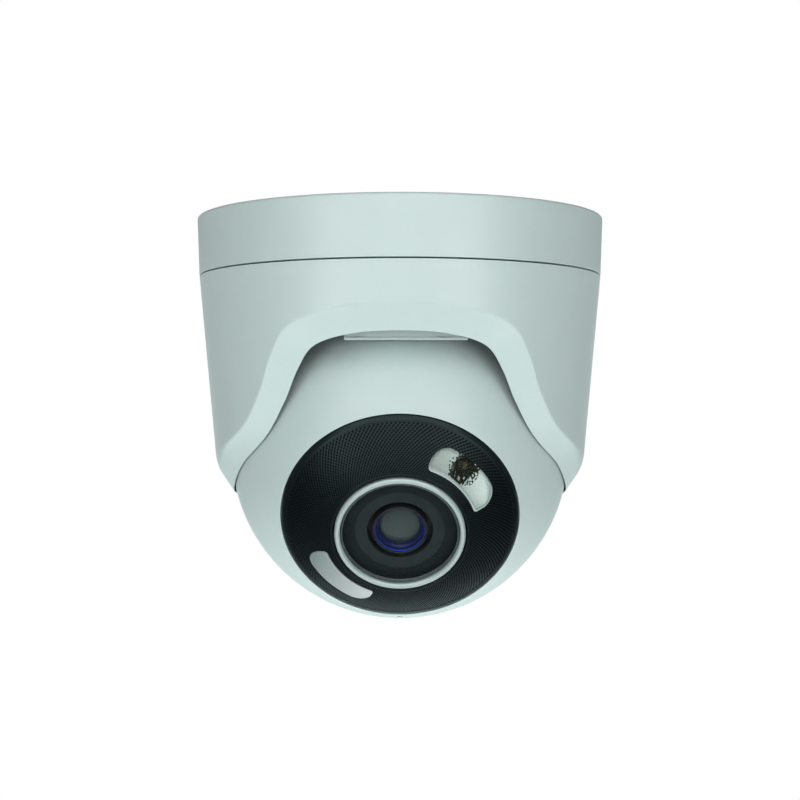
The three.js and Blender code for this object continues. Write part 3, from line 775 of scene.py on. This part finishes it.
# ---------------------------------------------------------------- ball
def ball_front():
    """The front shell, with a step that the bezel sits on and the microphone's slot."""
    opening, step_inner, step_top, step_bottom = BEZEL_RADIUS + 0.33, 27.4, 31.4, 29.9
    top = on_sphere(BALL_RADIUS, opening)
    outline = sphere_arc(BALL_RADIUS, SEAM_DEPTH, top - 0.25, 72)
    outline += [(opening + 0.02, top - 0.03), (opening, top - 0.25), (opening, step_top),
                (step_inner, step_top), (step_inner, step_bottom)]
    outline += sphere_arc(BALL_INNER, step_bottom, SEAM_DEPTH, 24)
    made = piece("ball_front", revolve(outline, 256), "eyeball", "paint", ["ball_front_shell"],
                 BALL_FRAME)
    slot = rounded([(-0.7, -1, 0.6), (0.7, -1, 0.6), (0.7, 1, 0.6), (-0.7, 1, 0.6)], 5)
    below_bezel = BALL_FRAME @ Matrix.Rotation(radians(45.8), 4, "X")
    cut(made, [prism(slot, BALL_RADIUS - 1.54, BALL_RADIUS + 2)], below_bezel)


def ball_rear():
    """The rear shell: a flat back with the hatch's recess, three screw holes and a hollow neck."""
    rear, inside, neck_end = -37.0, -33.6, -43
    neck_inner, neck_outer = 5, 7.0
    edge = on_sphere(BALL_RADIUS, abs(rear))
    start = SEAM_DEPTH - 0.3
    outline = sphere_arc(BALL_INNER, start, inside, 24)
    outline += [(neck_inner, inside), (neck_inner, neck_end), (neck_outer, neck_end),
                (neck_outer, rear), (edge - 0.3, rear), (edge + 0.15, rear + 0.3)]
    outline += sphere_arc(BALL_RADIUS, rear + 0.4, start, 60)
    made = piece("ball_rear", revolve(outline, 256), "eyeball", "paint", ["ball_rear_shell"],
                 BALL_FRAME)
    hatch_recess = prism(rectangle(-8, 13, -22.5, -15.5), rear - 1, rear + 2.3)
    hatch_opening = prism(rectangle(-7, 12, -21.7, -16.3), rear - 1, inside + 1)
    tools = [hatch_recess, hatch_opening]
    for angle in (90, 210, 330):
        x, y = on_circle(20, angle)
        tools.append(disc(x, y, 2.5, rear - 1, rear + 1.9, 32))
        tools.append(disc(x, y, 1.5, rear - 1, inside + 1, 24))
    cut(made, tools, BALL_FRAME)


ball_front()
ball_rear()


# ---------------------------------------------------------------- bezel
DOTS_AROUND = 164
DOT_ROWS = 24
DOT_DEPTH = 0.15
DOT_OUTER = 28.75
DOT_ROW_PITCH = 0.465
# The bezel's grid steps across each dot's cell, and the dot's half width and half height in steps.
CELL = 4
DOT_WIDTH = 1.3
DOT_HEIGHT = 2.2


def dot_dip(around_step, row_step):
    """How deep the dotted surface is at a grid point, from 0 to 1. Rows are staggered."""
    row, within = divmod(row_step, CELL)
    shift = CELL // 2 if row % 2 else 0
    across = (around_step + shift + CELL // 2) % CELL - CELL // 2
    away = hypot(across / DOT_WIDTH, (within - CELL / 2) / DOT_HEIGHT)
    return max(0.0, 1 - away * away)


def window_outline():
    """The outline of the opening for the first lamp window."""
    inner, outer, start, end = WINDOW_INNER, WINDOW_OUTER, WINDOW_FROM, WINDOW_TO
    big, small = WINDOW_OUTER_CORNER, WINDOW_INNER_CORNER
    big_turn = degrees(asin(big / (outer - big)))
    small_turn = degrees(asin(small / (inner + small)))

    def corner(radius, at_radius, at, low, high):
        return arc(*on_circle(at_radius, at), radius, low, high, 8)

    return (
        corner(small, inner + small, start + small_turn, start + small_turn + 180, start + 270)
        + corner(big, outer - big, start + big_turn, start - 90, start + big_turn)
        + arc(0, 0, outer, start + big_turn, end - big_turn, 16)[1:-1]
        + corner(big, outer - big, end - big_turn, end - big_turn, end + 90)
        + corner(small, inner + small, end - small_turn, end + 90, end - small_turn + 180)
        + arc(0, 0, inner, end - small_turn, start + small_turn, 16)[1:-1]
    )


def bezel_point(r, below):
    """A point a little below the bezel's sphere."""
    return r, on_sphere(BEZEL_SPHERE, r) - below


def bezel():
    """A dished ring with a smooth rim, rows of fine dots and an opening for each lamp window."""
    steps, back, seat, dotted_drop = DOTS_AROUND * CELL, 31.7, 26.4, 0.12
    rim = [(BEZEL_RADIUS, back), (BEZEL_RADIUS, 33.55), (BEZEL_RADIUS - 0.08, 33.78),
           (BEZEL_RADIUS - 0.3, 33.98), bezel_point(29.4, 0), bezel_point(29.05, 0),
           bezel_point(28.9, 0.1)]
    inner_edge = [bezel_point(17.35, dotted_drop), bezel_point(17.1, 0.2),
                  bezel_point(BEZEL_HOLE, 0.5), (BEZEL_HOLE, 39.4), (seat, 34), (seat, back)]
    vertices = []
    for i in range(steps):
        turn = 2 * pi * i / steps
        column = list(rim)
        for j in range(DOT_ROWS * CELL + 1):
            dip = dot_dip(i, j) if j < DOT_ROWS * CELL else 0
            r = DOT_OUTER - j * DOT_ROW_PITCH / CELL
            column.append(bezel_point(r, dotted_drop + dip * DOT_DEPTH))
        column += inner_edge
        vertices += [(r * cos(turn), r * sin(turn), d) for r, d in column]
    rows = len(vertices) // steps
    faces = grid_faces(steps, rows)
    finishes = []
    for here, *_ in faces:
        i, j = divmod(here, rows)
        j -= len(rim)
        dotted = 0 <= j < DOT_ROWS * CELL
        # faces in a dot's hollow take the darker black, painted shade
        finishes.append(int(dotted and dot_dip(i, j) + dot_dip(i + 1, j + 1) > 0.75))
    made = piece("bezel_dotted", (vertices, faces, finishes), "eyeball", "bezel_black", ["bezel"],
                 BALL_FRAME, second=DOT_PAINTED_SHADE, sharp=60)
    opening = prism(window_outline(), 25, 50)
    for turn in (0, pi):
        cut(made, [opening], BALL_FRAME @ Matrix.Rotation(turn, 4, "Z"))


bezel()


def trim_ring():
    """The metal ring round the glass, with a bevel on each side of its face."""
    front, back = RING_FRONT, 38.6
    outline = rounded([
        (RING_INNER, back), (RING_OUTER, back), (RING_OUTER, front - 0.45, 0.15),
        (RING_OUTER - 0.4, front, 0.12), (RING_INNER + 0.35, front, 0.12),
        (RING_INNER, front - 0.5, 0.15),
    ], 4)
    piece("trim_ring", revolve(outline, 256), "eyeball", "ring_metal", ["lens_trim_ring"],
          BALL_FRAME)


def ring_of(outline, edge_radius):
    """A turned ring whose faces beyond a radius have the second finish."""
    vertices, faces = revolve(outline, 160)
    finishes = []
    for face in faces:
        middle = sum((Vector(vertices[i]) for i in face), Vector()) / len(face)
        finishes.append(int(hypot(middle.x, middle.y) > edge_radius))
    return vertices, faces, finishes


def front_glass():
    """The cover glass, with its ground edge as a second finish, and the black mask behind it."""
    edge, back, front = 14.8, 40.4, 41.75
    outline = rounded([
        (0, back), (edge, back, 0.1), (edge, front - 0.35, 0.08), (14.5, front, 0.05), (0, front),
    ], 3)
    piece("front_glass", ring_of(outline, 14.52), "eyeball", "window_glass", ["front_window"],
          BALL_FRAME, second=GROUND_EDGE)
    mask = rounded([(11.33, 39.3), (edge, 39.3), (edge, 40.02, 0.1), (11.33, 40.02, 0.03)], 3)
    piece("window_mask", revolve(mask, 160), "eyeball", "rubber", ["window_gasket"], BALL_FRAME,
          MASK_INK)


trim_ring()
front_glass()


# ---------------------------------------------------------------- lens
def lens():
    """The barrel with its flange, the front element in three coated zones and the light shield."""
    barrel = rounded([
        (5.2, 20), (6.9, 20), (6.9, 36.4), (11.1, 36.4), (11.1, 37.2), (6.9, 37.2),
        (6.9, 38.9, 0.3), (7.0, 39.2, 0.1), (7.0, 40.1, 0.2), (6.5, 40.1, 0.12), (6.5, 35.6),
        (5.2, 35.6),
    ], 4)
    piece("barrel", revolve(barrel, 128), "eyeball", "black_plastic", ["lens_barrel"], BALL_FRAME)
    # the outer bands of the rim and the wall take the blue and violet painted reflections
    rim = [(5.98, 36), (6.4, 36), (6.4, 39.75), (6.33, 39.6), (6.26, 39.45), (6.12, 39.15),
           (5.98, 38.85)]
    piece("front_lens_rim", ring_of(rim, 6.25), "eyeball", "lens_glass", (), BALL_FRAME,
          DARK_COATING, second=BLUE_PAINTED_REFLECTION, sharp=60)
    wall = [(5.1, 36), (5.94, 36), (5.94, 38.78), (5.78, 38.5), (5.62, 38.3), (5.42, 37.95),
            (5.25, 37.6), (5.1, 37.45)]
    piece("front_lens_wall", ring_of(wall, 5.6), "eyeball", "lens_glass", (), BALL_FRAME,
          DARK_COATING, second=VIOLET_PAINTED_REFLECTION, sharp=60)
    edge, crown, fall = 5.06, 37.95, 0.5
    sag = [(r, crown - fall * (r / edge) ** 2) for r in (4.9, 4.4, 3.8, 3, 2.2, 1.4, 0.7, 0)]
    dome = [(0, 36.2), (edge, 36.2), (edge, 37.36)] + sag
    piece("front_lens", revolve(dome, 128), "eyeball", "lens_glass", ["front_element"], BALL_FRAME)
    shield = rounded([(8.3, 37.6), (11.3, 37.6), (11.3, 40, 0.05), (8.3, 40, 0.3)], 4)
    piece("shield_ring", revolve(shield, 160), "eyeball", "rubber", ["light_shield"], BALL_FRAME,
          SHIELD)


lens()


# ---------------------------------------------------------------- lamps
def window_limits(angle, inset):
    """The window's least and greatest radius along a line from the lens axis."""
    inner, outer = WINDOW_INNER + inset, WINDOW_OUTER - inset
    side = degrees(inset / ((inner + outer) / 2))
    edge = radians(min(angle - WINDOW_FROM - side, WINDOW_TO - side - angle))
    big, small = WINDOW_OUTER_CORNER - inset, WINDOW_INNER_CORNER
    big_turn, small_turn = asin(big / (outer - big)), asin(small / (inner + small))
    low, high = inner, outer
    if edge < big_turn:
        away = big_turn - edge
        at = outer - big
        high = at * cos(away) + sqrt(max(0, big ** 2 - (at * sin(away)) ** 2))
    if edge < small_turn:
        away = small_turn - edge
        at = inner + small
        low = at * cos(away) - sqrt(max(0, small ** 2 - (at * sin(away)) ** 2))
    return low, high


# The small lenses moulded on a window, and the grid steps in each.
CELL_STEPS = 4
CELLS_ALONG = 62
CELLS_ACROSS = 15


def window_patch(steps_along, steps_across, margin, front_depth, back_depth):
    """A closed patch that fills a lamp window's outline, and each vertex's distance from the edge.

    The front depth is a function of the two step numbers, the place, the radius and the distance
    from the edge, and the back depth of the radius.
    """
    gap = degrees(margin / ((WINDOW_INNER + WINDOW_OUTER) / 2)) + 0.02
    start, end = WINDOW_FROM + gap, WINDOW_TO - gap
    columns, rows = steps_along + 1, steps_across + 1
    front, back, edges = [], [], []
    for i in range(columns):
        angle = start + (end - start) * i / steps_along
        low, high = window_limits(angle, margin)
        for j in range(rows):
            r = low + (high - low) * j / steps_across
            x, y = on_circle(r, angle)
            edge = min(r - low, high - r, radians(min(angle - start, end - angle)) * r)
            edges.append(edge)
            front.append((x, y, front_depth(i, j, Vector((x, y)), r, edge)))
            back.append((x, y, back_depth(r)))
    total = columns * rows
    faces = grid_faces(columns, rows, False, False)
    faces += [tuple(total + k for k in reversed(face)) for face in faces]
    border = list(range(rows)) + [i * rows + rows - 1 for i in range(1, columns)]
    border += [(columns - 1) * rows + j for j in range(rows - 2, -1, -1)]
    border += [i * rows for i in range(columns - 2, 0, -1)]
    for k, here in enumerate(border):
        there = border[(k + 1) % len(border)]
        faces.append((here, there, total + there, total + here))
    return front + back, faces, edges + edges


def edge_painted_highlight(face, vertices, edges):
    """Whether a face is in the painted highlight: a pale band along the window's inner edge and round its low end.
    """
    at = Vector(vertices[face[0]])
    edge = max(edges[k] for k in face)
    inner = edge < 0.62 and hypot(at.x, at.y) < WINDOW_INNER + 0.9
    low_end = edge < 0.5 and degrees(atan2(at.y, at.x)) < WINDOW_FROM + 13
    return int(inner or low_end)


def hollow(face, _, edges):
    """Whether a face is at the bottom of a hollow between the small lenses, where the darker copy paints shade."""
    i, j = divmod(min(face), CELLS_ACROSS * CELL_STEPS + 1)
    low = i % CELL_STEPS in (1, 2) and j % CELL_STEPS in (1, 2)
    return int(low and min(edges[k] for k in face) > 0.4)


def lamp_window(name, node, turn, look, lens_height, second, second_finish):
    """A curved window with rounded edges and small lenses moulded on its face."""
    thick, soft = 1.1, 0.45

    def outside(i, j, _, r, edge):
        drop = soft - sqrt(max(0, soft ** 2 - (soft - min(edge, soft)) ** 2))
        lens = lens_height * cos(2 * pi * i / CELL_STEPS) * cos(2 * pi * j / CELL_STEPS)
        return on_sphere(BEZEL_SPHERE, r) - drop + (lens if edge > soft else 0)

    def inside(r):
        return on_sphere(BEZEL_SPHERE, r) - thick

    vertices, faces, edges = window_patch(CELLS_ALONG * CELL_STEPS, CELLS_ACROSS * CELL_STEPS, 0.12,
                                          outside, inside)
    finishes = [second_finish(face, vertices, edges) for face in faces]
    place = BALL_FRAME @ Matrix.Rotation(turn, 4, "Z")
    piece(name, (vertices, faces, finishes), "eyeball", "lamp_window", [node], place, look,
          second=second, sharp=50)


REFLECTOR_BACK = 27.6
BOWL_FLOOR = 34.8
BOWL_FLOOR_RADIUS = 1.5
BOWL_RADIUS = 3.3


def scatter(step):
    """A repeatable number between 0 and 1."""
    return (sin(step * 12.9898) * 43758.5453) % 1


def reflector(name, node, turn):
    """A shallow faceted bowl round the lamp, cut into a face under the window that carries painted reflections."""
    lamp_place = Vector(on_circle(LAMP_RADIUS, LAMP_ANGLE))

    def depth(i, j, at, r, _):
        top = on_sphere(BEZEL_SPHERE - 1.3, r) - 0.1
        away = (at - lamp_place).length
        facet = 0.05 * (i % 2 + j % 2)
        if away > BOWL_RADIUS:
            return top + facet
        share = max(0.0, (away - BOWL_FLOOR_RADIUS) / (BOWL_RADIUS - BOWL_FLOOR_RADIUS))
        return BOWL_FLOOR + (top - BOWL_FLOOR) * share ** 1.2 + facet * share

    vertices, faces, _ = window_patch(CELLS_ALONG * 2, CELLS_ACROSS * 2, 0.14, depth,
                                      lambda r: REFLECTOR_BACK)
    finishes = []
    for face in faces:
        middle = sum((Vector(vertices[i]) for i in face), Vector()) / len(face)
        away = (middle.xy - lamp_place).length
        # facets away from the lamp, and a random share near the bowl's edge, take the painted reflection
        reflection_share = smoothstep(BOWL_RADIUS - 1.1, BOWL_RADIUS + 1.8, away)
        i, j = divmod(min(face), CELLS_ACROSS * 2 + 1)
        cell = (i + 1) // 2 * CELLS_ACROSS + (j + 1) // 2
        finishes.append(int(reflection_share > scatter(cell) * 0.9 + 0.02))
    place = BALL_FRAME @ Matrix.Rotation(turn, 4, "Z")
    made = piece(name, (vertices, faces, finishes), "eyeball", "reflector_chrome", [node], place,
                 second=PAINTED_REFLECTION_FACE, flat=True)
    cut(made, [disc(*lamp_place, 1.3, REFLECTOR_BACK - 1, BOWL_FLOOR + 1, 32)], place)


def lamp(name, node, turn):
    """The lamp: a round package with a domed end in the middle of its bowl."""
    x, y = on_circle(LAMP_RADIUS, LAMP_ANGLE)
    radius, low, foot = 1.1, depth_span(node)[0], BOWL_FLOOR + 0.3
    outline = [(0, low), (radius, low)] + arc(0, foot, radius, 0, 90, 9)
    place = BALL_FRAME @ Matrix.Rotation(turn, 4, "Z") @ Matrix.Translation((x * MM, y * MM, 0))
    piece(name, revolve(outline, 48), "eyeball", "lamp_chip", [node], place)


lamp_window("clear_window", "lamp_window_upper", 0, None, 0.0, WINDOW_EDGE_HIGHLIGHT, edge_painted_highlight)
lamp_window("frosted_window", "lamp_window_lower", pi, FROSTED, 0.05, FROSTED_PAINTED_SHADE, hollow)
reflector("mirror_upper", "reflector_upper", 0)
reflector("mirror_lower", "reflector_lower", pi)
lamp("lamp_dome_upper", "lamp_upper", 0)
lamp("lamp_dome_lower", "lamp_lower", pi)


# ---------------------------------------------------------------- the other CAD nodes
SLOTS = {row["node"]: row["material_slot"] for row in frame["record"]["subparts"]}
for node, made in NODES.items():
    made.data.materials.clear()
    made.data.materials.append(LOOKS[SLOTS[node]])


# ---------------------------------------------------------------- stage and light
def stage():
    look = Look("pale_floor", 0.9)
    clouds = look.noise(2, 2)
    look.colour(look.ramp(clouds, [(0.3, (0.93, 0.93, 0.93)), (0.7, (0.95, 0.95, 0.95))]))
    glow = look.node("ShaderNodeEmission")
    mix = look.node("ShaderNodeMixShader")
    look.link(look.node("ShaderNodeLightPath").outputs["Is Camera Ray"], mix.inputs["Fac"])
    look.link(look.shader.outputs["BSDF"], mix.inputs[1])
    look.link(glow.outputs["Emission"], mix.inputs[2])
    look.link(mix.outputs["Shader"], look.tree.nodes["Material Output"].inputs["Surface"])
    mesh = bpy.data.meshes.new("floor")
    size, level = 12, -1.6
    corners = rectangle(-size, size, -size, size)
    mesh.from_pydata([(x, y, level) for x, y in corners], [], [(0, 1, 2, 3)])
    mesh.materials.append(look.material)
    floor = bpy.data.objects.new("floor", mesh)
    bpy.context.scene.collection.objects.link(floor)


# Each light's name, azimuth from the front, elevation, (width, height) in metres and watts. Soft
# lights aren't seen in the gloss, and sheen lights are seen only there.
LIGHT_DISTANCE = 1.5
LIGHTS = [
    ("front", 0, -5, (0.7, 0.7), 2.0),
    ("front_raised", 0, 20, (0.7, 0.6), 2.4),
    ("front_high", 0, 45, (0.9, 0.6), 2.4),
    ("front_side", 35, -5, (0.7, 0.7), 4.1),
    ("front_side_high", 35, 30, (0.7, 0.7), 2.8),
]
SOFT_LIGHTS = [
    ("below", 0, -75, (1.8, 0.8), 14.2),
    ("side_rear", 120, 0, (0.7, 1.0), 1.9),
    ("rear_below", 140, -40, (0.8, 0.8), 9.8),
]
SHEEN_LIGHTS = [
    ("sheen_below", 180, -45, (1.6, 0.6), 2.7),
    ("sheen_edge", 165, -8, (0.8, 0.8), 1.4),
]
SHEEN_COLOR = (0.8, 1.0, 1.0)
WORLD_IN_GLOSS = 0.22


def area_light(name, azimuth, elevation, size, watts):
    data = bpy.data.lights.new(name, "AREA")
    data.shape = "RECTANGLE"
    data.size, data.size_y = size
    data.energy = watts
    light = bpy.data.objects.new(name, data)
    level, rise = on_circle(1, elevation)
    away = around(azimuth, level, rise)
    light.location = CENTRE + away * LIGHT_DISTANCE
    light.rotation_euler = (-away).to_track_quat("-Z", "Y").to_euler()
    light.visible_camera = False
    bpy.context.scene.collection.objects.link(light)
    return light


def mirrored_lights(rows):
    """The lights of a table, with a left hand twin for each that isn't in the middle."""
    made = []
    for name, azimuth, *rest in rows:
        made.append(area_light(name, azimuth, *rest))
        if azimuth % 180:
            made.append(area_light(name + "_left", -azimuth, *rest))
    return made


def studio():
    world = bpy.data.worlds.new("studio")
    bpy.context.scene.world = world
    world.use_nodes = True
    nodes, links = world.node_tree.nodes, world.node_tree.links
    soft, seen = nodes["Background"], nodes.new("ShaderNodeBackground")
    for background in (soft, seen):
        background.inputs["Color"].default_value = (1, 1, 1, 1)
    mix = nodes.new("ShaderNodeMixShader")
    path = nodes.new("ShaderNodeLightPath")
    gloss = nodes.new("ShaderNodeMath")
    gloss.operation = "MULTIPLY"
    gloss.inputs[1].default_value = WORLD_IN_GLOSS
    links.new(path.outputs["Is Glossy Ray"], gloss.inputs[0])
    links.new(gloss.outputs["Value"], soft.inputs["Strength"])
    links.new(path.outputs["Is Camera Ray"], mix.inputs["Fac"])
    links.new(soft.outputs["Background"], mix.inputs[1])
    links.new(seen.outputs["Background"], mix.inputs[2])
    links.new(mix.outputs["Shader"], nodes["World Output"].inputs["Surface"])
    mirrored_lights(LIGHTS)
    for light in mirrored_lights(SOFT_LIGHTS):
        light.visible_glossy = False
    for light in mirrored_lights(SHEEN_LIGHTS):
        light.visible_diffuse = False
        light.data.color = SHEEN_COLOR
    bpy.context.scene.view_settings.view_transform = "Standard"


stage()
studio()
